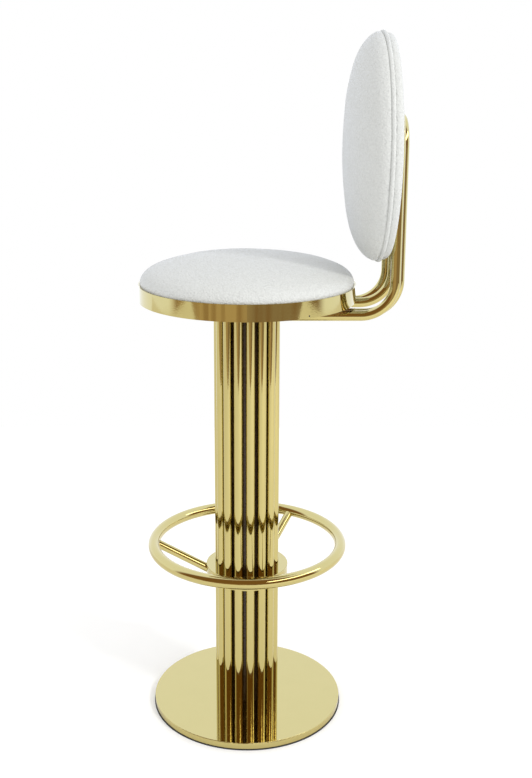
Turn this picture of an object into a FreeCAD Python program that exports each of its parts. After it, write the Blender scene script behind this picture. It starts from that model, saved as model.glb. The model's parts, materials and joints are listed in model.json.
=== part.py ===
import FreeCAD, Part
import os

import Sketcher

# Bar stool with a fluted column of upright tubes, a footrest ring and a round back on two bent hoops.
# Millimetres, +Z up.  The origin is the middle of the base's underside, on the floor.  The back is
# towards +Y and the sitter faces -Y.  The stand is fixed, and the seat with its back turns about Z.

DIMENSIONS = {
    # base
    "base_radius": 160.0,
    "base_thickness": 10.7,
    "base_edge_round": 0.8,
    "pad_radius": 161.0,
    "pad_thickness": 1.6,
    "foot_bolt_count": 4,
    "foot_bolt_circle": 25.0,
    "foot_bolt_radius": 4.0,
    "foot_bolt_hole_radius": 4.3,
    "foot_bolt_length": 14.0,
    "foot_head_radius": 6.5,
    "foot_head_height": 5.0,
    "counterbore_radius": 7.5,
    "counterbore_depth": 5.5,
    # column
    "tube_count": 15,
    "tube_radius": 7.5,
    "tube_wall": 1.5,
    "tube_circle": 46.05,
    "tube_phase": 6.8,
    "column_top": 684.0,
    "core_radius": 38.4,
    "core_wall": 1.9,
    "foot_plate_radius": 36.4,
    "foot_plate_thickness": 12.0,
    "cap_radius": 53.4,
    "cap_thickness": 6.0,
    # footrest
    "ring_circle": 156.4,
    "ring_tube_radius": 9.5,
    "ring_wall": 1.5,
    "ring_height": 292.9,
    "collar_radius": 68.7,
    "collar_thickness": 20.0,
    "collar_middle": 245.7,
    "collar_bore": 40.5,
    "collar_edge_round": 0.8,
    "collar_tube_gap": 0.05,
    "spoke_count": 3,
    "spoke_radius": 7.0,
    "spoke_phase": 30.0,
    "spoke_root": 7.0,
    # swivel
    "housing_flange_radius": 36.0,
    "housing_flange_thickness": 6.0,
    "housing_radius": 20.0,
    "housing_length": 68.0,
    "housing_relief": 15.5,
    "housing_screw_circle": 28.0,
    "housing_screw_radius": 2.5,
    "housing_head_radius": 4.2,
    "housing_head_height": 3.5,
    "bush_seat_radius": 14.05,
    "bush_radius": 14.0,
    "bush_bore": 10.05,
    "bush_length": 20.0,
    "spindle_radius": 10.0,
    "spindle_bottom": 616.0,
    "groove_radius": 9.0,
    "circlip_bottom": 619.0,
    "circlip_thickness": 1.4,
    "circlip_radius": 13.0,
    "circlip_mouth": 9.0,
    "keeper_thickness": 1.1,
    "keeper_radius": 14.8,
    "thrust_radius": 22.0,
    "thrust_bore": 10.3,
    "thrust_thickness": 1.9,
    "flange_radius": 50.0,
    "flange_thickness": 6.0,
    "flange_screw_circle": 43.0,
    "flange_screw_radius": 3.0,
    "flange_head_radius": 5.0,
    "flange_head_height": 3.6,
    # seat
    "plate_bottom": 704.0,
    "plate_radius": 135.0,
    "seat_bottom": 711.0,
    "board_radius": 167.4,
    "board_thickness": 18.0,
    "seat_screw_circle": 110.0,
    "seat_screw_radius": 2.5,
    "seat_screw_length": 20.0,
    "seat_head_radius": 6.0,
    "seat_head_height": 3.5,
    "band_radius": 172.0,
    "band_inner": 169.5,
    "band_height": 25.9,
    "grub_count": 3,
    "grub_radius": 1.2,
    "grub_length": 12.0,
    "grub_phase": 32.0,
    "grub_height": 714.5,
    "leather": 1.5,
    "leather_gap": 0.2,
    "seat_cover_radius": 169.2,
    "seat_side_top": 751.0,
    "seat_crown_top": 784.5,
    "seat_edge_round": 16.0,
    # back
    "hoop_tube_radius": 8.0,
    "hoop_wall": 1.5,
    "hoop_height": 696.0,
    "hoop_start": 62.0,
    "hoop_bend": 52.0,
    "outer_hoop_half": 59.0,
    "outer_hoop_plane": 227.3,
    "inner_hoop_half": 42.0,
    "inner_hoop_plane": 235.3,
    "arch_centre": 950.0,
    "plug_gap": 0.1,
    "plug_length": 12.0,
    "plug_head": 2.0,
    "bar_height": 30.0,
    "bar_thickness": 7.9,
    "bar_half": 50.6,
    "lower_bar": 866.0,
    "upper_bar": 932.0,
    "back_screw_half": 16.0,
    "back_screw_radius": 2.5,
    "back_screw_length": 22.0,
    "back_head_radius": 5.5,
    "back_head_height": 3.0,
    "insert_radius": 4.5,
    "back_centre": 946.4,
    "seam_plane": 203.2,
    "back_cover_radius": 169.0,
    "back_board_radius": 166.0,
    "back_board_thickness": 9.0,
    "wadding_thickness": 4.6,
    "back_rear": 219.0,
    "back_rear_round": 2.5,
    "back_side_depth": 28.0,
    "back_crown_depth": 53.5,
    "back_edge_round": 20.0,
    "piping_circle": 171.8,
    "piping_radius": 2.5,
}

doc = FreeCAD.newDocument("bar_stool")
sheet = doc.addObject("Spreadsheet::Sheet", "dims")
for row, (alias, number) in enumerate(DIMENSIONS.items(), start=1):
    sheet.set(f"A{row}", alias)
    sheet.set(f"B{row}", str(number))
    sheet.setAlias(f"B{row}", alias)
doc.recompute()

sub_parts = []

# Heights and lengths that follow from the driving dimensions.
BASE_TOP = "(dims.pad_thickness + dims.base_thickness)"
CAP_TOP = "(dims.column_top + dims.cap_thickness)"
HOUSING_TOP = f"({CAP_TOP} + dims.housing_flange_thickness)"
HOUSING_BOTTOM = f"({CAP_TOP} - dims.housing_length)"
FLANGE_BOTTOM = "(dims.plate_bottom - dims.flange_thickness)"
BOARD_TOP = "(dims.seat_bottom + dims.board_thickness)"
SPOKE_RUN = "(dims.ring_circle - dims.collar_radius)"
SPOKE_RISE = "(dims.ring_height - dims.collar_middle)"
# Angle of a spoke from the vertical, in degrees.
SPOKE_LEAN = f"(atan({SPOKE_RUN} / {SPOKE_RISE}) / 1 deg)"


def measure(expression):
    """The number that a sheet expression comes to."""
    return float(sheet.evalExpression(expression))


# ---- helpers: bodies, sketches and features ----

def new_body(label):
    body = doc.addObject("PartDesign::Body", label)
    body.Label = label
    return body


def origin_feature(body, role):
    return next(item for item in body.Origin.OriginFeatures if item.Role == role)


def new_sketch(body, name, plane="XY_Plane", offset="0"):
    """A sketch on one of the body's own planes, moved along the plane's normal."""
    sketch = body.newObject("Sketcher::SketchObject", name)
    sketch.AttachmentSupport = (origin_feature(body, plane), "")
    sketch.MapMode = "FlatFace"
    sketch.setExpression("AttachmentOffset.Base.z", offset)
    return sketch


def bind_constraint(sketch, constraint, expression):
    index = sketch.addConstraint(constraint)
    sketch.setExpression(f"Constraints[{index}]", expression)


def pin_point(sketch, geometry, position, across, up):
    """Hold a sketch point at two expressions from the sketch's origin."""
    if across == "0":
        sketch.addConstraint(Sketcher.Constraint("PointOnObject", geometry, position, -2))
    else:
        distance = Sketcher.Constraint("DistanceX", -1, 1, geometry, position, measure(across))
        bind_constraint(sketch, distance, across)
    if up == "0":
        sketch.addConstraint(Sketcher.Constraint("PointOnObject", geometry, position, -1))
    else:
        distance = Sketcher.Constraint("DistanceY", -1, 1, geometry, position, measure(up))
        bind_constraint(sketch, distance, up)


def add_circle(sketch, radius, across="0", up="0"):
    centre = FreeCAD.Vector(measure(across), measure(up), 0)
    circle = Part.Circle(centre, FreeCAD.Vector(0, 0, 1), measure(radius))
    index = sketch.addGeometry(circle, False)
    pin_point(sketch, index, 3, across, up)
    bind_constraint(sketch, Sketcher.Constraint("Radius", index, measure(radius)), radius)


def add_outline(sketch, corners):
    """A closed outline of straight lines through corners, each a pair of expressions."""
    points = [FreeCAD.Vector(measure(across), measure(up), 0) for across, up in corners]
    lines = []
    for start, end in zip(points, points[1:] + points[:1]):
        lines.append(sketch.addGeometry(Part.LineSegment(start, end), False))
    for line, following in zip(lines, lines[1:] + lines[:1]):
        sketch.addConstraint(Sketcher.Constraint("Coincident", line, 2, following, 1))
    for line, (across, up) in zip(lines, corners):
        pin_point(sketch, line, 1, across, up)


def polar(circle, count, phase="0"):
    """Centres spaced evenly round a circle, as expressions."""
    angles = [f"({phase} + {k} * 360 / {count})" for k in range(int(measure(count)))]
    return [(f"({circle} * cos{angle})", f"({circle} * sin{angle})") for angle in angles]


def pad(body, name, sketch, length, backwards=False):
    feature = body.newObject("PartDesign::Pad", name)
    feature.Profile = sketch
    feature.setExpression("Length", length)
    feature.Reversed = backwards
    return feature


def pocket(body, name, sketch, length, backwards=False):
    """Cut a sketch into the body, and stop if it takes nothing away."""
    doc.recompute()
    before = body.Shape.Volume
    feature = body.newObject("PartDesign::Pocket", name)
    feature.Profile = sketch
    feature.setExpression("Length", length)
    feature.Reversed = backwards
    doc.recompute()
    if body.Shape.Volume >= before:
        raise RuntimeError(f"{body.Label}: {name} cuts nothing")
    return feature


def revolve(body, name, sketch):
    """Turn a sketch on the XZ plane about the body's Z axis."""
    feature = body.newObject("PartDesign::Revolution", name)
    feature.Profile = sketch
    feature.ReferenceAxis = (sketch, ["V_Axis"])
    feature.Angle = 360
    return feature


def rim(feature, radius, height):
    """Names of the feature's round edges with this radius at this height."""
    names = []
    for number, edge in enumerate(feature.Shape.Edges, start=1):
        if edge.Degenerated or not isinstance(edge.Curve, Part.Circle):
            continue
        curve = edge.Curve
        if abs(curve.Radius - measure(radius)) < 0.01 and abs(curve.Center.z - measure(height)) < 0.01:
            names.append(f"Edge{number}")
    if not names:
        raise RuntimeError(f"{feature.Label}: no round edge there")
    return names


def round_rim(body, feature, radius, height, size):
    doc.recompute()
    fillet = body.newObject("PartDesign::Fillet", "rim_round")
    fillet.Base = (feature, rim(feature, radius, height))
    fillet.setExpression("Radius", size)
    return fillet


def raise_to(item, height):
    item.setExpression("Placement.Base.z", height)


def keep(item, label):
    """Count an object as a finished piece, written under its label."""
    item.Label = label
    sub_parts.append(item)
    return item


def ring_body(label, outer, inner, bottom, height):
    """A plain tube or washer about Z."""
    body = new_body(label)
    sketch = new_sketch(body, "section")
    add_circle(sketch, outer)
    if inner:
        add_circle(sketch, inner)
    pad(body, "wall", sketch, height)
    raise_to(body, bottom)
    return body


def post_group(label, centres, stages, plane="XY_Plane"):
    """Equal stepped pins as separate solids.  A stage is a radius, a start and a length."""
    body = new_body(label)
    body.AllowCompound = True
    facing = plane == "XZ_Plane"
    for number, (radius, start, length) in enumerate(stages):
        offset = f"-({start})" if facing else start
        sketch = new_sketch(body, f"stage_{number}", plane, offset)
        for across, up in centres:
            add_circle(sketch, radius, across, up)
        pad(body, f"post_{number}", sketch, length, backwards=facing)
    return body


def cylinder(name, radius, height, bottom="0"):
    item = doc.addObject("Part::Cylinder", name)
    item.setExpression("Radius", radius)
    item.setExpression("Height", height)
    raise_to(item, bottom)
    return item


def cut(base, tool, label):
    item = doc.addObject("Part::Cut", label)
    item.Base = base
    item.Tool = tool
    return item


# ---- stand: base ----

def make_base():
    pad_disc = ring_body("floor_pad", "dims.pad_radius", None, "0", "dims.pad_thickness")
    keep(pad_disc, "floor_pad")

    base = new_body("base_plate")
    disc = new_sketch(base, "disc")
    add_circle(disc, "dims.base_radius")
    plate = pad(base, "plate", disc, "dims.base_thickness")
    round_rim(base, plate, "dims.base_radius", "dims.base_thickness", "dims.base_edge_round")
    centres = polar("dims.foot_bolt_circle", "dims.foot_bolt_count")
    holes = (
        ("bolt_holes", "dims.foot_bolt_hole_radius", "dims.base_thickness"),
        ("counterbores", "dims.counterbore_radius", "dims.counterbore_depth"),
    )
    for name, radius, depth in holes:
        sketch = new_sketch(base, f"{name}_sketch")
        for across, up in centres:
            add_circle(sketch, radius, across, up)
        pocket(base, name, sketch, depth, backwards=True)
    raise_to(base, "dims.pad_thickness")
    keep(base, "base_plate")

    head_bottom = "(dims.pad_thickness + dims.counterbore_depth - dims.foot_head_height)"
    shank_bottom = "(dims.pad_thickness + dims.counterbore_depth)"
    stages = [
        ("dims.foot_head_radius", head_bottom, "dims.foot_head_height"),
        ("dims.foot_bolt_radius", shank_bottom, "dims.foot_bolt_length"),
    ]
    keep(post_group("base_bolts", centres, stages), "base_bolts")

    foot = ring_body("column_foot_plate", "dims.foot_plate_radius", None, BASE_TOP,
                     "dims.foot_plate_thickness")
    sketch = new_sketch(foot, "tapped_sketch")
    for across, up in centres:
        add_circle(sketch, "(dims.foot_bolt_radius + 0.05)", across, up)
    pocket(foot, "tapped_holes", sketch, "dims.foot_plate_thickness", backwards=True)
    keep(foot, "column_foot_plate")


# ---- stand: column ----

def make_column():
    height = f"(dims.column_top - {BASE_TOP})"
    core = ring_body("core_post", "dims.core_radius", "(dims.core_radius - dims.core_wall)",
                     BASE_TOP, height)
    keep(core, "core_post")

    centres = polar("dims.tube_circle", "dims.tube_count", "dims.tube_phase")
    for number, (across, up) in enumerate(centres, start=1):
        label = f"column_tube_{number:02d}"
        tube = ring_body(label, "dims.tube_radius", "(dims.tube_radius - dims.tube_wall)",
                         BASE_TOP, height)
        tube.setExpression("Placement.Base.x", across)
        tube.setExpression("Placement.Base.y", up)
        keep(tube, label)

    cap = ring_body("column_cap", "dims.cap_radius", "(dims.housing_radius + 0.1)",
                    "dims.column_top", "dims.cap_thickness")
    sketch = new_sketch(cap, "screw_sketch")
    for across, up in polar("dims.housing_screw_circle", "4"):
        add_circle(sketch, "(dims.housing_screw_radius + 0.05)", across, up)
    pocket(cap, "screw_holes", sketch, "dims.cap_thickness", backwards=True)
    keep(cap, "column_cap")


# ---- stand: footrest ----

def make_footrest():
    collar = new_body("footrest_collar")
    section = new_sketch(collar, "section")
    add_circle(section, "dims.collar_radius")
    disc = pad(collar, "disc", section, "dims.collar_thickness")
    round_rim(collar, disc, "dims.collar_radius", "dims.collar_thickness", "dims.collar_edge_round")
    bore = new_sketch(collar, "bore_sketch")
    add_circle(bore, "dims.collar_bore")
    pocket(collar, "bore", bore, "dims.collar_thickness", backwards=True)
    tube_holes = new_sketch(collar, "tube_hole_sketch")
    for across, up in polar("dims.tube_circle", "dims.tube_count", "dims.tube_phase"):
        add_circle(tube_holes, "(dims.tube_radius + dims.collar_tube_gap)", across, up)
    pocket(collar, "tube_holes", tube_holes, "dims.collar_thickness", backwards=True)
    raise_to(collar, "(dims.collar_middle - dims.collar_thickness / 2)")
    keep(collar, "footrest_collar")

    ring = new_body("footrest_ring")
    section = new_sketch(ring, "section", "XZ_Plane")
    add_circle(section, "dims.ring_tube_radius", "dims.ring_circle", "dims.ring_height")
    add_circle(section, "(dims.ring_tube_radius - dims.ring_wall)", "dims.ring_circle",
               "dims.ring_height")
    revolve(ring, "hoop", section)
    keep(ring, "footrest_ring")

    # Each spoke is a round bar that rises from the collar's rim to the ring's middle and is
    # shaped at both ends to what it meets.
    for number in range(1, int(measure("dims.spoke_count")) + 1):
        label = f"footrest_spoke_{number}"
        bar = cylinder(f"{label}_bar", "dims.spoke_radius", f"sqrt({SPOKE_RUN}^2 + {SPOKE_RISE}^2)")
        lean = FreeCAD.Rotation(FreeCAD.Vector(0, 1, 0), measure(SPOKE_LEAN))
        bar.Placement = FreeCAD.Placement(FreeCAD.Vector(0, 0, 0), lean)
        bar.setExpression("Placement.Base.x", "dims.collar_radius - dims.spoke_root")
        bar.setExpression("Placement.Base.z",
                          f"dims.collar_middle - dims.spoke_root * {SPOKE_RISE} / {SPOKE_RUN}")
        bar.setExpression("Placement.Rotation.Angle", f"{SPOKE_LEAN} * 1 deg")
        # The tool's own height only has to clear the sloping bar's end.
        rim_tool = cylinder(f"{label}_collar_tool", "dims.collar_radius", "dims.ring_height",
                            "dims.collar_middle - dims.collar_thickness")
        ring_tool = doc.addObject("Part::Torus", f"{label}_ring_tool")
        ring_tool.setExpression("Radius1", "dims.ring_circle")
        ring_tool.setExpression("Radius2", "dims.ring_tube_radius")
        raise_to(ring_tool, "dims.ring_height")
        trimmed = cut(bar, rim_tool, f"{label}_trimmed")
        spoke = cut(trimmed, ring_tool, label)
        spoke.setExpression("Placement.Rotation.Angle",
                            f"(dims.spoke_phase + {number - 1} * 360 / dims.spoke_count) * 1 deg")
        keep(spoke, label)


# ---- swivel: fixed half in the column, turning half under the seat ----

def make_swivel():
    housing = new_body("bearing_housing")
    profile = new_sketch(housing, "profile", "XZ_Plane")
    lower_step = f"({HOUSING_BOTTOM} + dims.bush_length)"
    upper_step = f"({HOUSING_TOP} - dims.bush_length)"
    add_outline(profile, [
        ("dims.bush_seat_radius", HOUSING_BOTTOM),
        ("dims.housing_radius", HOUSING_BOTTOM),
        ("dims.housing_radius", CAP_TOP),
        ("dims.housing_flange_radius", CAP_TOP),
        ("dims.housing_flange_radius", HOUSING_TOP),
        ("dims.bush_seat_radius", HOUSING_TOP),
        ("dims.bush_seat_radius", upper_step),
        ("dims.housing_relief", upper_step),
        ("dims.housing_relief", lower_step),
        ("dims.bush_seat_radius", lower_step),
    ])
    revolve(housing, "turned", profile)
    centres = polar("dims.housing_screw_circle", "4")
    head_seat = f"({HOUSING_TOP} - dims.housing_head_height - 0.2)"
    holes = (
        ("screw_holes", "(dims.housing_screw_radius + 0.1)", CAP_TOP),
        ("head_seats", "(dims.housing_head_radius + 0.2)", head_seat),
    )
    for name, radius, start in holes:
        sketch = new_sketch(housing, f"{name}_sketch", offset=start)
        for across, up in centres:
            add_circle(sketch, radius, across, up)
        pocket(housing, name, sketch, f"{HOUSING_TOP} - {start}", backwards=True)
    keep(housing, "bearing_housing")

    stages = [
        ("dims.housing_screw_radius", "dims.column_top", f"{head_seat} - dims.column_top"),
        ("dims.housing_head_radius", head_seat, "dims.housing_head_height"),
    ]
    keep(post_group("housing_screws", centres, stages), "housing_screws")

    bushes = (
        ("upper_bush", f"{HOUSING_TOP} - dims.bush_length"),
        ("lower_bush", HOUSING_BOTTOM),
    )
    for label, bottom in bushes:
        bush = ring_body(label, "dims.bush_radius", "dims.bush_bore", bottom, "dims.bush_length")
        keep(bush, label)
    washer = ring_body("thrust_washer", "dims.thrust_radius", "dims.thrust_bore", HOUSING_TOP,
                       "dims.thrust_thickness")
    keep(washer, "thrust_washer")

    spindle = new_body("swivel_spindle")
    profile = new_sketch(spindle, "profile", "XZ_Plane")
    groove_bottom = "(dims.circlip_bottom - 0.1)"
    groove_top = "(dims.circlip_bottom + dims.circlip_thickness + 0.1)"
    add_outline(profile, [
        ("0", "dims.spindle_bottom"),
        ("dims.groove_radius", "dims.spindle_bottom"),
        ("dims.spindle_radius", "dims.spindle_bottom + 1"),
        ("dims.spindle_radius", groove_bottom),
        ("dims.groove_radius", groove_bottom),
        ("dims.groove_radius", groove_top),
        ("dims.spindle_radius", groove_top),
        ("dims.spindle_radius", "dims.plate_bottom"),
        ("0", "dims.plate_bottom"),
    ])
    revolve(spindle, "turned", profile)
    keep(spindle, "swivel_spindle")

    circlip_ring = ring_body("circlip_ring", "dims.circlip_radius", "dims.groove_radius + 0.05",
                             "dims.circlip_bottom", "dims.circlip_thickness")
    mouth = doc.addObject("Part::Box", "circlip_mouth")
    mouth.setExpression("Length", "dims.circlip_radius * 2")
    mouth.setExpression("Width", "dims.circlip_mouth")
    mouth.setExpression("Height", "dims.circlip_thickness")
    mouth.setExpression("Placement.Base.y", "-dims.circlip_mouth / 2")
    raise_to(mouth, "dims.circlip_bottom")
    keep(cut(circlip_ring, mouth, "spindle_circlip"), "spindle_circlip")
    keeper = ring_body("keeper_washer", "dims.keeper_radius", "dims.spindle_radius + 0.1",
                       "dims.circlip_bottom + dims.circlip_thickness", "dims.keeper_thickness")
    keep(keeper, "keeper_washer")

    flange = ring_body("swivel_flange", "dims.flange_radius", "dims.spindle_radius + 0.05",
                       FLANGE_BOTTOM, "dims.flange_thickness")
    centres = polar("dims.flange_screw_circle", "4", "45")
    sketch = new_sketch(flange, "screw_sketch")
    for across, up in centres:
        add_circle(sketch, "(dims.flange_screw_radius + 0.2)", across, up)
    pocket(flange, "screw_holes", sketch, "dims.flange_thickness", backwards=True)
    keep(flange, "swivel_flange")
    stages = [
        ("dims.flange_head_radius", f"{FLANGE_BOTTOM} - dims.flange_head_height",
         "dims.flange_head_height"),
        ("dims.flange_screw_radius", FLANGE_BOTTOM, "dims.seat_bottom - 1 - " + FLANGE_BOTTOM),
    ]
    keep(post_group("flange_screws", centres, stages), "flange_screws")


# ---- seat ----

def dome_body(label, radius, start, side, crown, edge_round):
    """A round cushion shape about Z: a straight side, a shallow crown and a rounded shoulder.

    The crown is a circular arc whose middle is on the axis, side and crown are heights.
    """
    body = new_body(label)
    sketch = new_sketch(body, "profile", "XZ_Plane")
    edge = measure(radius)
    side_top = measure(side)
    crown_top = measure(crown)
    rise = crown_top - side_top
    crown_radius = (edge * edge + rise * rise) / (2 * rise)
    middle = crown_top - crown_radius
    halfway = edge / 2
    arc_height = middle + (crown_radius ** 2 - halfway ** 2) ** 0.5
    bottom = measure(start)
    corners = [FreeCAD.Vector(0, crown_top, 0), FreeCAD.Vector(0, bottom, 0),
               FreeCAD.Vector(edge, bottom, 0), FreeCAD.Vector(edge, side_top, 0)]
    lines = [sketch.addGeometry(Part.LineSegment(a, b), False) for a, b in zip(corners, corners[1:])]
    arc = sketch.addGeometry(Part.Arc(corners[3], FreeCAD.Vector(halfway, arc_height, 0), corners[0]),
                             False)
    sketch.addConstraint(Sketcher.Constraint("Coincident", lines[0], 2, lines[1], 1))
    sketch.addConstraint(Sketcher.Constraint("Coincident", lines[1], 2, lines[2], 1))
    # The arc runs anticlockwise, from the side to the crown.
    sketch.addConstraint(Sketcher.Constraint("Coincident", lines[2], 2, arc, 1))
    sketch.addConstraint(Sketcher.Constraint("Coincident", arc, 2, lines[0], 1))
    pin_point(sketch, lines[0], 1, "0", crown)
    pin_point(sketch, lines[1], 1, "0", start)
    pin_point(sketch, lines[2], 1, radius, start)
    pin_point(sketch, arc, 1, radius, side)
    sketch.addConstraint(Sketcher.Constraint("PointOnObject", arc, 3, -2))
    turned = revolve(body, "turned", sketch)
    round_rim(body, turned, radius, side, edge_round)
    return body


def make_seat():
    plate = ring_body("seat_plate", "dims.plate_radius", None, "dims.plate_bottom",
                      "dims.seat_bottom - dims.plate_bottom")
    flange_centres = polar("dims.flange_screw_circle", "4", "45")
    board_centres = polar("dims.seat_screw_circle", "4")
    screw_sets = (
        ("flange_tapped", "(dims.flange_screw_radius + 0.05)", flange_centres),
        ("board_clearance", "(dims.seat_screw_radius + 0.1)", board_centres),
    )
    for name, radius, centres in screw_sets:
        sketch = new_sketch(plate, f"{name}_sketch")
        for across, up in centres:
            add_circle(sketch, radius, across, up)
        pocket(plate, name, sketch, "dims.seat_bottom - dims.plate_bottom", backwards=True)
    keep(plate, "seat_plate")

    board = ring_body("board_disc", "dims.board_radius", None, "dims.seat_bottom", "dims.board_thickness")
    sketch = new_sketch(board, "screw_sketch")
    for across, up in board_centres:
        add_circle(sketch, "(dims.seat_screw_radius + 0.05)", across, up)
    pocket(board, "screw_holes", sketch, "dims.seat_screw_length", backwards=True)

    stages = [
        ("dims.seat_head_radius", "dims.plate_bottom - dims.seat_head_height", "dims.seat_head_height"),
        ("dims.seat_screw_radius", "dims.plate_bottom", "dims.seat_screw_length"),
    ]
    keep(post_group("seat_screws", board_centres, stages), "seat_screws")

    band = ring_body("band_ring", "dims.band_radius", "dims.band_inner", "dims.seat_bottom",
                     "dims.band_height")

    cover_side = "(dims.seat_side_top + dims.leather)"
    cover_outer = dome_body("seat_cover_outer", "dims.seat_cover_radius", "dims.seat_bottom",
                            cover_side, "dims.seat_crown_top", "dims.seat_edge_round")
    inner_radius = "(dims.seat_cover_radius - dims.leather)"
    inner_crown = "(dims.seat_crown_top - dims.leather)"
    inner_round = "(dims.seat_edge_round - dims.leather)"
    cover_inner = dome_body("seat_cover_inner", inner_radius, "(dims.seat_bottom - 1)",
                            "dims.seat_side_top", inner_crown, inner_round)
    cover = cut(cover_outer, cover_inner, "seat_cover_shell")

    foam = dome_body("seat_foam", "dims.board_radius", BOARD_TOP,
                     "(dims.seat_side_top - dims.leather_gap)",
                     "(dims.seat_crown_top - dims.leather - dims.leather_gap)", inner_round)
    keep(foam, "seat_foam")

    # Small grub screws go in through the band and the tucked leather, into the board's edge.
    grubs = []
    drills = []
    for number in range(int(measure("dims.grub_count"))):
        angle = f"(dims.grub_phase + {number} * 360 / dims.grub_count)"
        # A grub ends just short of the band's face, and its hole runs out through the face.
        for group, name, gap, past in ((grubs, "grub", "0", "-0.1"), (drills, "drill", "0.05", "1")):
            pin = cylinder(f"{name}_{number}", f"dims.grub_radius + {gap}",
                           f"dims.grub_length + {past}", "dims.grub_height")
            pin.Placement = FreeCAD.Placement(FreeCAD.Vector(0, 0, measure("dims.grub_height")),
                                              FreeCAD.Rotation(measure(angle), 90, 0))
            inner_end = "(dims.band_radius - dims.grub_length)"
            pin.setExpression("Placement.Base.x", f"{inner_end} * cos{angle}")
            pin.setExpression("Placement.Base.y", f"{inner_end} * sin{angle}")
            group.append(pin)
    screws = doc.addObject("Part::Compound", "band_screws")
    screws.Links = grubs
    keep(screws, "band_screws")
    drilling = doc.addObject("Part::MultiFuse", "band_drilling")
    drilling.Shapes = drills
    for item, label in ((board, "seat_board"), (band, "seat_band"), (cover, "seat_cover")):
        keep(cut(item, drilling, label), label)


# ---- back frame ----

def hoop_path(label, half, plane):
    """Centre line of a bent tube: along under the seat, up, over in a half circle and back."""
    start = measure("dims.hoop_start")
    low = measure("dims.hoop_height")
    bend = measure("dims.hoop_bend")
    arch = measure("dims.arch_centre")
    corner = bend * (1 - 0.5 ** 0.5)
    edges = [
        Part.LineSegment(FreeCAD.Vector(half, start, low), FreeCAD.Vector(half, plane - bend, low)),
        Part.Arc(FreeCAD.Vector(half, plane - bend, low),
                 FreeCAD.Vector(half, plane - corner, low + corner),
                 FreeCAD.Vector(half, plane, low + bend)),
        Part.LineSegment(FreeCAD.Vector(half, plane, low + bend), FreeCAD.Vector(half, plane, arch)),
        Part.Arc(FreeCAD.Vector(half, plane, arch), FreeCAD.Vector(0, plane, arch + half),
                 FreeCAD.Vector(-half, plane, arch)),
        Part.LineSegment(FreeCAD.Vector(-half, plane, arch), FreeCAD.Vector(-half, plane, low + bend)),
        Part.Arc(FreeCAD.Vector(-half, plane, low + bend),
                 FreeCAD.Vector(-half, plane - corner, low + corner),
                 FreeCAD.Vector(-half, plane - bend, low)),
        Part.LineSegment(FreeCAD.Vector(-half, plane - bend, low), FreeCAD.Vector(-half, start, low)),
    ]
    path = doc.addObject("Part::Feature", f"{label}_path")
    path.Shape = Part.Wire([edge.toShape() for edge in edges])
    return path


def make_hoop(label, half, plane):
    path = hoop_path(label, measure(half), measure(plane))
    sweeps = []
    for name, radius in (("outside", "dims.hoop_tube_radius"),
                         ("inside", "dims.hoop_tube_radius - dims.hoop_wall")):
        section = doc.addObject("Part::Circle", f"{label}_{name}_section")
        section.setExpression("Radius", radius)
        section.Placement = FreeCAD.Placement(FreeCAD.Vector(0, 0, 0),
                                              FreeCAD.Rotation(FreeCAD.Vector(1, 0, 0), 90))
        section.setExpression("Placement.Base.x", half)
        section.setExpression("Placement.Base.y", "dims.hoop_start")
        section.setExpression("Placement.Base.z", "dims.hoop_height")
        sweep = doc.addObject("Part::Sweep", f"{label}_{name}")
        sweep.Sections = [section]
        sweep.Spine = (path, [])
        sweep.Solid = True
        sweep.Frenet = False
        sweeps.append(sweep)
    keep(cut(sweeps[0], sweeps[1], label), label)


def make_back_frame():
    make_hoop("back_hoop_outer", "dims.outer_hoop_half", "dims.outer_hoop_plane")
    make_hoop("back_hoop_inner", "dims.inner_hoop_half", "dims.inner_hoop_plane")

    ends = []
    for half in ("dims.outer_hoop_half", "dims.inner_hoop_half"):
        for side in ("-", ""):
            ends.append((f"({side}{half})", "dims.hoop_height"))
    stages = [
        ("dims.hoop_tube_radius", "dims.hoop_start - dims.plug_head", "dims.plug_head"),
        ("dims.hoop_tube_radius - dims.hoop_wall - dims.plug_gap", "dims.hoop_start",
         "dims.plug_length"),
    ]
    keep(post_group("hoop_end_plugs", ends, stages, "XZ_Plane"), "hoop_end_plugs")

    # Two flat bars cross between the hoops behind the cushion, and carry its screws.
    heights = {"lower": "dims.lower_bar", "upper": "dims.upper_bar"}
    for name, height in heights.items():
        label = f"cross_bar_{name}"
        bar = new_body(label)
        outline = new_sketch(bar, "outline", "XZ_Plane", "-dims.back_rear")
        low = f"({height} - dims.bar_height / 2)"
        high = f"({height} + dims.bar_height / 2)"
        add_outline(outline, [("-dims.bar_half", low), ("dims.bar_half", low),
                              ("dims.bar_half", high), ("-dims.bar_half", high)])
        pad(bar, "plate", outline, "dims.bar_thickness", backwards=True)
        holes = new_sketch(bar, "screw_sketch", "XZ_Plane", "-dims.back_rear")
        for side in ("-", ""):
            add_circle(holes, "(dims.back_screw_radius + 0.1)", f"({side}dims.back_screw_half)", height)
        pocket(bar, "screw_holes", holes, "dims.bar_thickness")
        keep(bar, label)

    centres = [(f"({side}dims.back_screw_half)", height)
               for height in heights.values() for side in ("-", "")]
    bar_rear = "(dims.back_rear + dims.bar_thickness)"
    stages = [
        ("dims.back_screw_radius", f"{bar_rear} - dims.back_screw_length", "dims.back_screw_length"),
        ("dims.back_head_radius", bar_rear, "dims.back_head_height"),
    ]
    keep(post_group("back_screws", centres, stages, "XZ_Plane"), "back_screws")
    return centres


# ---- back cushion: pieces turned about Z, then laid so that +Z points to the rear ----

def face_rearwards(item):
    item.Placement = FreeCAD.Placement(FreeCAD.Vector(0, 0, 0),
                                       FreeCAD.Rotation(FreeCAD.Vector(1, 0, 0), -90))
    item.setExpression("Placement.Base.y", "dims.seam_plane")
    item.setExpression("Placement.Base.z", "dims.back_centre")


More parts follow.
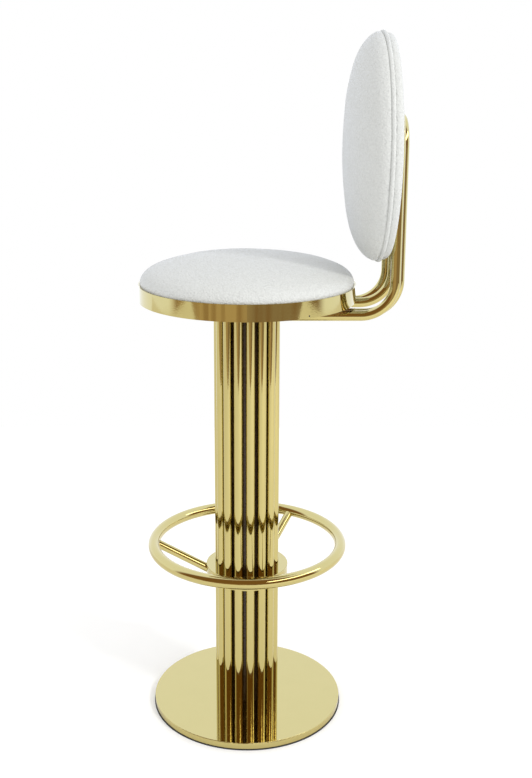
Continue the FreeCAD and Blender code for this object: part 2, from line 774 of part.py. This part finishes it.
def make_back_cushion(screw_centres):
    # The screws pass through the rear cover and the wadding into sleeves in the board.
    clearance = post_group("back_clearance", screw_centres,
                           [("dims.back_screw_radius + 0.1", "dims.seam_plane",
                             "dims.back_rear - dims.seam_plane")], "XZ_Plane")
    insert_holes = post_group("insert_holes", screw_centres,
                              [("dims.insert_radius + 0.05", "dims.seam_plane",
                                "dims.back_board_thickness")], "XZ_Plane")

    board = ring_body("back_board_disc", "dims.back_board_radius", None, "0",
                      "dims.back_board_thickness")
    face_rearwards(board)
    keep(cut(board, insert_holes, "back_board"), "back_board")
    sleeves = post_group("insert_sleeves", screw_centres,
                         [("dims.insert_radius", "dims.seam_plane", "dims.back_board_thickness")],
                         "XZ_Plane")
    keep(cut(sleeves, clearance, "board_inserts"), "board_inserts")

    wadding = ring_body("wadding_disc", "dims.back_board_radius", None, "0", "dims.wadding_thickness")
    face_rearwards(wadding)
    wadding.setExpression("Placement.Base.y", "dims.seam_plane + dims.back_board_thickness")
    keep(cut(wadding, clearance, "back_wadding"), "back_wadding")

    depth = "(dims.back_rear - dims.seam_plane)"
    cup = new_body("rear_cup")
    profile = new_sketch(cup, "profile", "XZ_Plane")
    inner = "(dims.back_cover_radius - dims.leather)"
    inner_depth = f"({depth} - dims.leather)"
    add_outline(profile, [("0", inner_depth), (inner, inner_depth), (inner, "0"),
                          ("dims.back_cover_radius", "0"), ("dims.back_cover_radius", depth),
                          ("0", depth)])
    turned = revolve(cup, "turned", profile)
    round_rim(cup, turned, "dims.back_cover_radius", depth, "dims.back_rear_round")
    face_rearwards(cup)
    keep(cut(cup, clearance, "back_rear_cover"), "back_rear_cover")

    piping = new_body("back_piping")
    section = new_sketch(piping, "section", "XZ_Plane")
    add_circle(section, "dims.piping_radius", "dims.piping_circle", "0")
    revolve(piping, "cord", section)
    face_rearwards(piping)
    keep(piping, "back_piping")

    # The front cover and its foam swell forwards, so their domes are turned the other way.
    foam_radius = "(dims.back_cover_radius - dims.leather - dims.leather_gap)"
    foam_side = "(dims.back_side_depth - dims.leather)"
    foam_crown = "(dims.back_crown_depth - dims.leather - dims.leather_gap)"
    inner_round = "(dims.back_edge_round - dims.leather)"
    outer = dome_body("front_cover_outer", "dims.back_cover_radius", "0", "dims.back_side_depth",
                      "dims.back_crown_depth", "dims.back_edge_round")
    hollow = dome_body("front_cover_inner", "(dims.back_cover_radius - dims.leather)", "(-1)",
                       "(dims.back_side_depth - dims.leather)",
                       "(dims.back_crown_depth - dims.leather)", inner_round)
    foam = dome_body("back_foam", foam_radius, "0.1", foam_side, foam_crown, inner_round)
    cover = cut(outer, hollow, "back_front_cover")
    for item in (cover, foam):
        item.Placement = FreeCAD.Placement(FreeCAD.Vector(0, 0, 0),
                                           FreeCAD.Rotation(FreeCAD.Vector(1, 0, 0), 90))
        item.setExpression("Placement.Base.y", "dims.seam_plane")
        item.setExpression("Placement.Base.z", "dims.back_centre")
    keep(cover, "back_front_cover")
    keep(foam, "back_foam")


# ---- build, check and write ----

make_base()
make_column()
make_footrest()
make_swivel()
make_seat()
make_back_cushion(make_back_frame())
doc.recompute()

faults = [f"{item.Label} {item.State}" for item in doc.Objects
          if "Invalid" in item.State or "Error" in item.State]
for item in sub_parts:
    if item.Shape.isNull() or not item.Shape.isValid() or not item.Shape.Solids:
        faults.append(f"{item.Label} has no valid solid")
if faults:
    raise RuntimeError("; ".join(faults))

os.makedirs("parts", exist_ok=True)
for item in sub_parts:
    item.Shape.exportStep(os.path.join("parts", f"{item.Label}.step"))
print(f"{len(sub_parts)} sub-parts written")
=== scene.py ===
"""Bar stool with footrest: leather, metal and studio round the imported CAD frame. Metres."""

import json
import math

import bmesh
import bpy
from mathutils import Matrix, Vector, noise


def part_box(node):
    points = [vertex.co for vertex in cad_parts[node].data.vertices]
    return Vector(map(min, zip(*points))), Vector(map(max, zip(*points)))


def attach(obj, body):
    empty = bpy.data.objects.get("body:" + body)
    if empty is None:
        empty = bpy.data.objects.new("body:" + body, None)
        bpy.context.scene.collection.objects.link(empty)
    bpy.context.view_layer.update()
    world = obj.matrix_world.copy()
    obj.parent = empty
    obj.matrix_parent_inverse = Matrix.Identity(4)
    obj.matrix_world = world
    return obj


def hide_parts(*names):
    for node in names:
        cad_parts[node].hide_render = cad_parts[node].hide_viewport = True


MM = 0.001

# Camera: where it stands, how far it looks down, and its lens.
CAMERA_PLACE = (1.7092, 0, 1.0589)
CAMERA_DOWN = 14.87
CAMERA_LENS = 50.65
CAMERA_SHIFT = (0.0244, -0.0335)

# Studio. The floor's edges are its front, its back and each side.
FLOOR_EDGE, FLOOR_FAR, FLOOR_SIDE = 2.0, -1.5, 3.4
FLOOR_WHITE = (0.97, 0.97, 0.97)
BACKDROP = (1.0, 1.0, 1.0)

# What polished metal reflects: a bright sky, and a dim room that starts at this much of +X.
ROOM_EDGE = (0.0, 0.25)
ROOM_LEFT = (0.70, 0.54, 0.36)
ROOM_RIGHT = (0.40, 0.31, 0.23)
ROOM_TOP = (0.30, 0.16, 0.06)
SKY = (1.29, 1.38, 1.66)

# Light on everything that isn't glossy, at the horizon and from above, and the two lamps.
AMBIENT_LOW, AMBIENT_HIGH = 1.28, 1.4
LAMP_TARGET = (0, 0, 0.5)
LAMP_DISTANCE = 2.8
LAMP_ELEVATION = 34
KEY_AZIMUTH, KEY_SIZE, KEY_POWER = 50, (0.3, 0.3), 25
STRIP_AZIMUTH, STRIP_SIZE, STRIP_POWER = 60, (3.4, 0.5), 24

# Leather covers.
CLOTH_FRAMES = 20
CLOTH_PRESSURE = 1.5
CLOTH_SHRINK = -0.004
CLOTH_REACH = 0.6 * MM
COVER_STEPS = 144
FOAM_STEPS = 96
CORD_RADIUS = 3.2 * MM
CORD_STEPS = 360
SEAT_CROWN = (1.75, 2.68)
BACK_CROWN = (2.7, 2.2)
GATHERS = 64

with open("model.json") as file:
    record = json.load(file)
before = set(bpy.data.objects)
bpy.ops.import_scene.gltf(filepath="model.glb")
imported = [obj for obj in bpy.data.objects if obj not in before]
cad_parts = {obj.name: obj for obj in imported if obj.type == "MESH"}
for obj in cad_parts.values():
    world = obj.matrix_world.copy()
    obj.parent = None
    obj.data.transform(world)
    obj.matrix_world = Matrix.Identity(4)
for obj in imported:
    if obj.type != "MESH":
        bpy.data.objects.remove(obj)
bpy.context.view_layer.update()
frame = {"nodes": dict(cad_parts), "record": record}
nodes = frame["nodes"]

# ---------------------------------------------------------------- places read from the frame

band_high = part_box("seat_band")[1]
board_low, board_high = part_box("seat_board")
seat_cover_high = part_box("seat_cover")[1]
front_cover_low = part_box("back_front_cover")[0]
rear_cover_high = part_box("back_rear_cover")[1]
piping_low, piping_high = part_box("back_piping")

# The back cushion is round about a line along +Y through this point of its seam.
BACK_CENTRE = Vector((0, (piping_low.y + piping_high.y) / 2, (piping_low.z + piping_high.z) / 2))


# ---------------------------------------------------------------- camera

def add_camera():
    """A camera above seat height that looks along -X, and a little down, at the stool's side."""
    data = bpy.data.cameras.new("camera")
    data.lens = CAMERA_LENS
    data.sensor_width = 36
    data.shift_x, data.shift_y = CAMERA_SHIFT
    camera = bpy.data.objects.new("camera", data)
    camera.location = CAMERA_PLACE
    camera.rotation_euler = (math.radians(90 - CAMERA_DOWN), 0, math.radians(90))
    bpy.context.scene.collection.objects.link(camera)
    bpy.context.scene.camera = camera


# ---------------------------------------------------------------- studio

def mix_colour(tree, factor, first, second):
    """A colour that goes from first to second with a 0 to 1 factor; each is a colour or a socket."""
    mix = tree.nodes.new("ShaderNodeMix")
    mix.data_type = "RGBA"
    tree.links.new(factor, mix.inputs["Factor"])
    for socket, colour in ((mix.inputs["A"], first), (mix.inputs["B"], second)):
        if isinstance(colour, tuple):
            socket.default_value = (*colour, 1)
        else:
            tree.links.new(colour, socket)
    return mix.outputs["Result"]


def ramp(tree, value, start, end, low=0.0, high=1.0):
    """A smooth step of value from low at start to high at end."""
    step = tree.nodes.new("ShaderNodeMapRange")
    step.interpolation_type = "SMOOTHSTEP"
    step.inputs["From Min"].default_value = start
    step.inputs["From Max"].default_value = end
    step.inputs["To Min"].default_value = low
    step.inputs["To Max"].default_value = high
    tree.links.new(value, step.inputs["Value"])
    return step.outputs["Result"]


def background(tree, colour):
    """A world background of one colour or of a colour socket."""
    shader = tree.nodes.new("ShaderNodeBackground")
    if isinstance(colour, tuple):
        shader.inputs["Color"].default_value = (*colour, 1)
    else:
        tree.links.new(colour, shader.inputs["Color"])
    return shader.outputs[0]


def add_world():
    """Even white light and backdrop; the gloss also sees a dim warm room on the camera's side."""
    world = bpy.data.worlds.new("studio")
    world.use_nodes = True
    bpy.context.scene.world = world
    tree = world.node_tree
    tree.nodes.clear()
    direction = tree.nodes.new("ShaderNodeTexCoord").outputs["Generated"]
    split = tree.nodes.new("ShaderNodeSeparateXYZ")
    tree.links.new(direction, split.inputs[0])
    low_room = mix_colour(tree, ramp(tree, split.outputs["Y"], -0.15, 0.15), ROOM_LEFT, ROOM_RIGHT)
    streaks = ramp(tree, add_noise(tree, direction, 9, 3, (1, 1, 0.06)), 0.42, 0.68, 0, 0.55)
    low_room = mix_colour(tree, streaks, low_room, ROOM_TOP)
    room = mix_colour(tree, ramp(tree, split.outputs["Z"], -0.1, 0.15), low_room, ROOM_TOP)
    towards_camera = ramp(tree, split.outputs["X"], ROOM_EDGE[0], ROOM_EDGE[1])
    surroundings = mix_colour(tree, towards_camera, SKY, room)

    soft = tree.nodes.new("ShaderNodeBackground")
    ambient = ramp(tree, split.outputs["Z"], 0, 1, AMBIENT_LOW, AMBIENT_HIGH)
    tree.links.new(ambient, soft.inputs["Strength"])
    path = tree.nodes.new("ShaderNodeLightPath")
    lights = tree.nodes.new("ShaderNodeMixShader")
    tree.links.new(path.outputs["Is Glossy Ray"], lights.inputs["Fac"])
    tree.links.new(soft.outputs[0], lights.inputs[1])
    tree.links.new(background(tree, surroundings), lights.inputs[2])
    seen = tree.nodes.new("ShaderNodeMixShader")
    tree.links.new(path.outputs["Is Camera Ray"], seen.inputs["Fac"])
    tree.links.new(lights.outputs[0], seen.inputs[1])
    tree.links.new(background(tree, BACKDROP), seen.inputs[2])
    output = tree.nodes.new("ShaderNodeOutputWorld")
    tree.links.new(seen.outputs[0], output.inputs["Surface"])


def add_softbox(name, azimuth, size, power):
    """A rectangular lamp that faces the stool. Azimuth 0 is +X and 90 is +Y. Returns the lamp."""
    data = bpy.data.lights.new(name, "AREA")
    data.shape = "RECTANGLE"
    data.size, data.size_y = size
    data.energy = power
    lamp = bpy.data.objects.new(name, data)
    around, rise = math.radians(azimuth), math.radians(LAMP_ELEVATION)
    level = math.cos(rise)
    away = Vector((level * math.cos(around), level * math.sin(around), math.sin(rise)))
    lamp.location = Vector(LAMP_TARGET) + away * LAMP_DISTANCE
    lamp.rotation_euler = away.to_track_quat("Z", "Y").to_euler()
    bpy.context.scene.collection.objects.link(lamp)
    return lamp


def add_floor():
    """A pale floor that ends on the camera's side and runs far behind the stool."""
    mesh = bpy.data.meshes.new("floor")
    far, side = FLOOR_FAR, FLOOR_SIDE
    mesh.from_pydata(
        [(FLOOR_EDGE, -side, 0), (FLOOR_EDGE, side, 0), (far, side, 0), (far, -side, 0)],
        [],
        [(0, 1, 2, 3)],
    )
    floor = bpy.data.objects.new("floor", mesh)
    bpy.context.scene.collection.objects.link(floor)
    material, tree, shader, place = new_material("studio_floor", FLOOR_WHITE, 0.9)
    shader.inputs["Specular IOR Level"].default_value = 0
    mesh.materials.append(material)


# ---------------------------------------------------------------- materials

def new_material(name, colour, roughness, metallic=0.0):
    """A node material. Returns it with its tree, its shader and the object's coordinates."""
    material = bpy.data.materials.new(name)
    material.use_nodes = True
    tree = material.node_tree
    shader = tree.nodes["Principled BSDF"]
    shader.inputs["Base Color"].default_value = (*colour, 1)
    shader.inputs["Roughness"].default_value = roughness
    shader.inputs["Metallic"].default_value = metallic
    place = tree.nodes.new("ShaderNodeTexCoord").outputs["Object"]
    return material, tree, shader, place


def add_noise(tree, place, scale, detail=3.0, stretch=(1, 1, 1)):
    """Noise in the object's coordinates; stretch under 1 lengthens it along that axis."""
    mapping = tree.nodes.new("ShaderNodeMapping")
    mapping.inputs["Scale"].default_value = stretch
    tree.links.new(place, mapping.inputs["Vector"])
    texture = tree.nodes.new("ShaderNodeTexNoise")
    texture.inputs["Scale"].default_value = scale
    texture.inputs["Detail"].default_value = detail
    tree.links.new(mapping.outputs[0], texture.inputs["Vector"])
    return texture.outputs["Fac"]


def vary(tree, source, socket, low, high):
    """Drives a shader value between low and high with a 0 to 1 source."""
    spread = tree.nodes.new("ShaderNodeMapRange")
    spread.inputs["From Min"].default_value = 0.3
    spread.inputs["From Max"].default_value = 0.7
    spread.inputs["To Min"].default_value = low
    spread.inputs["To Max"].default_value = high
    tree.links.new(source, spread.inputs["Value"])
    tree.links.new(spread.outputs["Result"], socket)


def tint(tree, source, shader, first, second):
    """Makes the base colour go from first to second with a 0 to 1 source."""
    tree.links.new(mix_colour(tree, source, first, second), shader.inputs["Base Color"])


def add_bump(tree, shader, source, depth):
    """Shades the surface as if it rose by depth metres where the source is 1."""
    bump = tree.nodes.new("ShaderNodeBump")
    bump.inputs["Distance"].default_value = depth
    tree.links.new(source, bump.inputs["Height"])
    tree.links.new(bump.outputs[0], shader.inputs["Normal"])


def polished_brass():
    """Polished brass with faint changes of gloss and a slight hand-buffed ripple."""
    material, tree, shader, place = new_material("polished_brass", (0.53, 0.447, 0.18), 0.05, 1.0)
    wear = add_noise(tree, place, 35, 4)
    vary(tree, wear, shader.inputs["Roughness"], 0.03, 0.08)
    tint(tree, wear, shader, (0.54, 0.454, 0.184), (0.52, 0.44, 0.175))
    ripple = add_noise(tree, place, 500, 2)
    add_bump(tree, shader, ripple, 0.012 * MM)
    return material


def white_leather():
    """White leather with pebbles of about 3 mm and long creases between them."""
    material, tree, shader, place = new_material("white_leather", (0.615, 0.623, 0.603), 0.5)
    shader.inputs["Specular IOR Level"].default_value = 0.18
    warp = tree.nodes.new("ShaderNodeTexNoise")
    warp.inputs["Scale"].default_value = 60
    tree.links.new(place, warp.inputs["Vector"])
    bent = tree.nodes.new("ShaderNodeVectorMath")
    bent.operation = "MULTIPLY_ADD"
    bent.inputs[1].default_value = (0.006, 0.006, 0.006)
    tree.links.new(warp.outputs["Color"], bent.inputs[0])
    tree.links.new(place, bent.inputs[2])
    pebbles = tree.nodes.new("ShaderNodeTexVoronoi")
    pebbles.inputs["Scale"].default_value = 330
    tree.links.new(bent.outputs[0], pebbles.inputs["Vector"])
    creases = add_noise(tree, bent.outputs[0], 330, 3, (1, 0.35, 0.5))
    height = tree.nodes.new("ShaderNodeMath")
    height.operation = "MULTIPLY_ADD"
    height.inputs[1].default_value = 1.7
    tree.links.new(creases, height.inputs[0])
    tree.links.new(pebbles.outputs["Distance"], height.inputs[2])
    add_bump(tree, shader, height.outputs[0], 0.75 * MM)
    vary(tree, pebbles.outputs["Distance"], shader.inputs["Roughness"], 0.45, 0.6)
    # The base colour is lighter on the pebbles and darker between them: painted shade in the grain's
    # creases.
    tint(tree, pebbles.outputs["Distance"], shader, (0.645, 0.654, 0.634), (0.57, 0.578, 0.56))
    return material


def plain(name, colour, roughness, metallic=0.0):
    """A plain finish with a fine grain of its own."""
    material, tree, shader, place = new_material(name, colour, roughness, metallic)
    grain = add_noise(tree, place, 200)
    vary(tree, grain, shader.inputs["Roughness"], roughness * 0.8, roughness * 1.2)
    add_bump(tree, shader, grain, 0.05 * MM)
    return material


def plywood():
    """Birch plywood: thin glued layers at its edge and a long grain."""
    material, tree, shader, place = new_material("plywood", (0.5, 0.33, 0.18), 0.7)
    layers = tree.nodes.new("ShaderNodeTexWave")
    layers.bands_direction = "Z"
    layers.inputs["Scale"].default_value = 110
    layers.inputs["Distortion"].default_value = 0.6
    tree.links.new(place, layers.inputs["Vector"])
    tint(tree, layers.outputs["Fac"], shader, (0.38, 0.23, 0.12), (0.62, 0.44, 0.26))
    grain = add_noise(tree, place, 300, 4, (0.06, 1, 1))
    add_bump(tree, shader, grain, 0.15 * MM)
    return material


def open_cells(name, first, second, scale, depth):
    """Foam, wadding or felt: rounded cells of two shades."""
    material, tree, shader, place = new_material(name, first, 0.95)
    cells = tree.nodes.new("ShaderNodeTexVoronoi")
    cells.inputs["Scale"].default_value = scale
    tree.links.new(place, cells.inputs["Vector"])
    tint(tree, cells.outputs["Distance"], shader, first, second)
    add_bump(tree, shader, cells.outputs["Distance"], depth)
    return material


def finish_frame():
    """Gives every CAD node the node material of its slot."""
    made = {
        "polished_brass": polished_brass(),
        "white_leather": white_leather(),
        "black_post": plain("black_post", (0.09, 0.052, 0.022), 0.3),
        "plain_steel": plain("plain_steel", (0.45, 0.45, 0.46), 0.35, 1.0),
        "screw_steel": plain("screw_steel", (0.06, 0.06, 0.065), 0.45, 1.0),
        "bearing_bronze": plain("bearing_bronze", (0.5, 0.3, 0.14), 0.35, 1.0),
        "plywood": plywood(),
        "foam": open_cells("foam", (0.72, 0.63, 0.42), (0.82, 0.75, 0.56), 700, 0.4 * MM),
        "wadding": open_cells("wadding", (0.72, 0.72, 0.7), (0.85, 0.85, 0.83), 250, 1.0 * MM),
        "felt": open_cells("felt", (0.02, 0.02, 0.025), (0.06, 0.06, 0.065), 900, 0.3 * MM),
        "plug_plastic": plain("plug_plastic", (0.02, 0.02, 0.02), 0.4),
    }
    for row in frame["record"]["subparts"]:
        mesh = nodes[row["node"]].data
        mesh.materials.clear()
        mesh.materials.append(made[row["material_slot"]])
    return made


# ---------------------------------------------------------------- leather covers

def turn(name, outline, steps, centre, along):
    """A mesh turned about an axis. The outline is (radius, height) pairs; a radius of 0 closes it."""
    made = bmesh.new()
    axis = Vector(along)
    first = axis.orthogonal().normalized()
    second = axis.cross(first)
    rings = []
    for radius, height in outline:
        if radius == 0:
            rings.append([made.verts.new(centre + axis * height)])
            continue
        ring = []
        for k in range(steps):
            angle = 2 * math.pi * k / steps
            out = first * math.cos(angle) + second * math.sin(angle)
            ring.append(made.verts.new(centre + axis * height + out * radius))
        rings.append(ring)
    for low, high in zip(rings, rings[1:]):
        for k in range(steps):
            after = (k + 1) % steps
            if len(low) == 1:
                made.faces.new((low[0], high[after], high[k]))
            elif len(high) == 1:
                made.faces.new((low[k], low[after], high[0]))
            else:
                made.faces.new((low[k], low[after], high[after], high[k]))
    bmesh.ops.recalc_face_normals(made, faces=made.faces)
    mesh = bpy.data.meshes.new(name)
    made.to_mesh(mesh)
    made.free()
    mesh.shade_smooth()
    piece = bpy.data.objects.new(name, mesh)
    bpy.context.scene.collection.objects.link(piece)
    return piece


def crown(radius, height, shape, rows):
    """Outline of a crowned cushion from its rim, where the height is 0, up to its middle.

    The two numbers of shape say how round it is across and how full it is upwards: 2 and 2 is
    an ellipse, and larger numbers are squarer.
    """
    roundness, fullness = shape
    outline = []
    for k in range(rows):
        angle = math.pi / 2 * k / rows
        outline.append(
            (radius * math.cos(angle) ** (2 / roundness), height * math.sin(angle) ** (2 / fullness))
        )
    return outline + [(0, height)]


def uneven(piece, depth, size):
    """Moves points along their normals by up to depth metres, in soft lumps of the given size."""
    mesh = piece.data
    normals = [vertex.normal.copy() for vertex in mesh.vertices]
    for vertex, normal in zip(mesh.vertices, normals):
        vertex.co += normal * depth * noise.noise(vertex.co / size)


def gather(piece, along, radius, reach, depth):
    """Small gathers round the back's seam, where the leather is sewn in: they fade out within reach."""
    axis = Vector(along)
    first = axis.orthogonal().normalized()
    second = axis.cross(first)
    for vertex in piece.data.vertices:
        out = vertex.co - BACK_CENTRE
        height = out.dot(axis)
        across = (out - axis * height).length
        fade = max(0.0, 1 - (abs(height) + max(0.0, radius - across)) / reach)
        angle = math.atan2(out.dot(second), out.dot(first))
        wobble = math.sin(angle * GATHERS + 2 * math.sin(angle * 7)) * depth * fade * fade
        vertex.co += (out - axis * height).normalized() * wobble


def swell(piece, held):
    """Lets a cover swell as cloth where it isn't held, but no point further than CLOTH_REACH."""
    mesh = piece.data
    start = [vertex.co.copy() for vertex in mesh.vertices]
    group = piece.vertex_groups.new(name="held")
    group.add([vertex.index for vertex in mesh.vertices if held(vertex.co)], 1.0, "REPLACE")
    cloth = piece.modifiers.new("swell", "CLOTH")
    cloth.settings.vertex_group_mass = "held"
    cloth.settings.use_pressure = True
    cloth.settings.uniform_pressure_force = CLOTH_PRESSURE
    cloth.settings.effector_weights.gravity = 0
    cloth.settings.shrink_min = CLOTH_SHRINK
    for number in range(1, CLOTH_FRAMES + 1):
        bpy.context.scene.frame_set(number)
    settled = piece.evaluated_get(bpy.context.evaluated_depsgraph_get()).data
    ends = [vertex.co.copy() for vertex in settled.vertices]
    piece.modifiers.remove(cloth)
    bpy.context.scene.frame_set(1)
    for vertex, before, after in zip(mesh.vertices, start, ends):
        shift = after - before
        if shift.length > 0:
            reach = CLOTH_REACH * math.tanh(shift.length / CLOTH_REACH)
            vertex.co = before + shift.normalized() * reach


def finish_cover(piece, node, leather):
    """Smooths a cover, gives it its leather, puts it on the seat's body and hides the CAD node it stands
    for.
    """
    smooth = piece.modifiers.new("smooth", "SUBSURF")
    smooth.levels = smooth.render_levels = 1
    piece.data.materials.append(leather)
    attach(piece, "seat")
    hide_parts(node)


def make_foam(name, node, outline, centre, along, foam):
    """The foam under a leather cover, which it follows from inside."""
    piece = turn(name, outline, FOAM_STEPS, centre, along)
    piece.data.materials.append(foam)
    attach(piece, "seat")
    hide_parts(node)


def make_seat_cushion(leather, foam):
    """Leather drawn over the seat's foam and tucked down behind the band."""
    rim = band_high.z - 0.9 * MM
    radius = seat_cover_high.x - 0.6 * MM
    height = seat_cover_high.z - 0.7 * MM - rim
    outline = [(radius - 18 * MM, board_low.z + 0.2 * MM), (radius - 0.4 * MM, board_low.z + 0.5 * MM)]
    outline += [(radius, rim - 12 * MM), (radius, rim - 6 * MM)]
    outline += [(r, rim + h) for r, h in crown(radius, height, SEAT_CROWN, 40)]
    piece = turn("seat_cushion_leather", outline, COVER_STEPS, Vector((0, 0, 0)), (0, 0, 1))
    swell(piece, lambda co: co.z < rim + 3 * MM)
    uneven(piece, 0.7 * MM, 55 * MM)
    finish_cover(piece, "seat_cover", leather)

    pad_radius = radius - 2.6 * MM
    outline = [(0, 0), (pad_radius - 16 * MM, 0), (pad_radius, 0)]
    lift = rim - board_high.z - 0.2 * MM
    outline += [(r, lift + h) for r, h in crown(pad_radius, height - 2.6 * MM, SEAT_CROWN, 40)]
    centre = Vector((0, 0, board_high.z + 0.2 * MM))
    make_foam("seat_foam_pad", "seat_foam", outline, centre, (0, 0, 1), foam)


def make_back_front(leather, foam):
    """The back's front cover: a full dome whose rim turns in before the piping."""
    along = (0, -1, 0)
    radius = piping_high.x - 2.0 * MM
    depth = BACK_CENTRE.y - front_cover_low.y - 0.9 * MM
    outline = [(radius - 12 * MM, 1.1 * MM), (radius - 3.3 * MM, 1.5 * MM), (radius - 1.4 * MM, 2.7 * MM)]
    outline += [(radius - 0.4 * MM, 4.2 * MM)]
    outline += [(r, h) for r, h in crown(radius, depth, BACK_CROWN, 44) if h > 6 * MM]
    piece = turn("back_front_leather", outline, COVER_STEPS, BACK_CENTRE, along)
    swell(piece, lambda co: co.y > BACK_CENTRE.y - 5 * MM)
    uneven(piece, 0.8 * MM, 50 * MM)
    gather(piece, along, radius, 22 * MM, 0.35 * MM)
    finish_cover(piece, "back_front_cover", leather)

    pad_radius = radius - 4 * MM
    outline = [(0, 0), (pad_radius - 12 * MM, 0)]
    outline += crown(pad_radius, depth - 3.5 * MM, BACK_CROWN, 40)[2:]
    make_foam("back_foam_pad", "back_foam", outline, BACK_CENTRE - Vector((0, 1.2 * MM, 0)), along, foam)


def make_back_rear(leather):
    """The back's rear cover: a shallow rounded side and a flat rear face."""
    along = (0, 1, 0)
    radius = piping_high.x - 4.1 * MM
    depth = rear_cover_high.y - BACK_CENTRE.y
    outline = [(radius - 10 * MM, 1.4 * MM), (radius - 1.2 * MM, 1.8 * MM), (radius, 3.6 * MM)]
    outline += [(radius, depth - 7.5 * MM), (radius - 0.8 * MM, depth - 4.6 * MM)]
    outline += [(radius - 3 * MM, depth - 2 * MM), (radius - 6.5 * MM, depth - 0.6 * MM)]
    outline += [(radius - 12 * MM, depth), (radius * 0.7, depth), (radius * 0.35, depth), (0, depth)]
    piece = turn("back_rear_leather", outline, COVER_STEPS, BACK_CENTRE, along)
    gather(piece, along, radius, 14 * MM, 0.3 * MM)
    finish_cover(piece, "back_rear_cover", leather)


def make_back_piping(leather):
    """The leather cord sewn into the seam, slightly uneven along its run."""
    middle = piping_high.x - CORD_RADIUS
    outline = []
    for k in range(25):
        angle = 2 * math.pi * k / 24
        outline.append((middle + CORD_RADIUS * math.cos(angle), CORD_RADIUS * math.sin(angle)))
    piece = turn("back_piping_leather", outline, CORD_STEPS, BACK_CENTRE, (0, 1, 0))
    uneven(piece, 0.35 * MM, 6 * MM)
    piece.data.materials.append(leather)
    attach(piece, "seat")
    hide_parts("back_piping")


bpy.context.scene.view_settings.view_transform = "Standard"
add_camera()
add_world()
add_floor()

# The key lamp gives soft shade without a highlight, and the strip gives highlights only.
key = add_softbox("key", KEY_AZIMUTH, KEY_SIZE, KEY_POWER)
key.visible_glossy = False
strip = add_softbox("strip", STRIP_AZIMUTH, STRIP_SIZE, STRIP_POWER)
strip.visible_diffuse = False

finishes = finish_frame()
make_seat_cushion(finishes["white_leather"], finishes["foam"])
make_back_front(finishes["white_leather"], finishes["foam"])
make_back_rear(finishes["white_leather"])
make_back_piping(finishes["white_leather"])
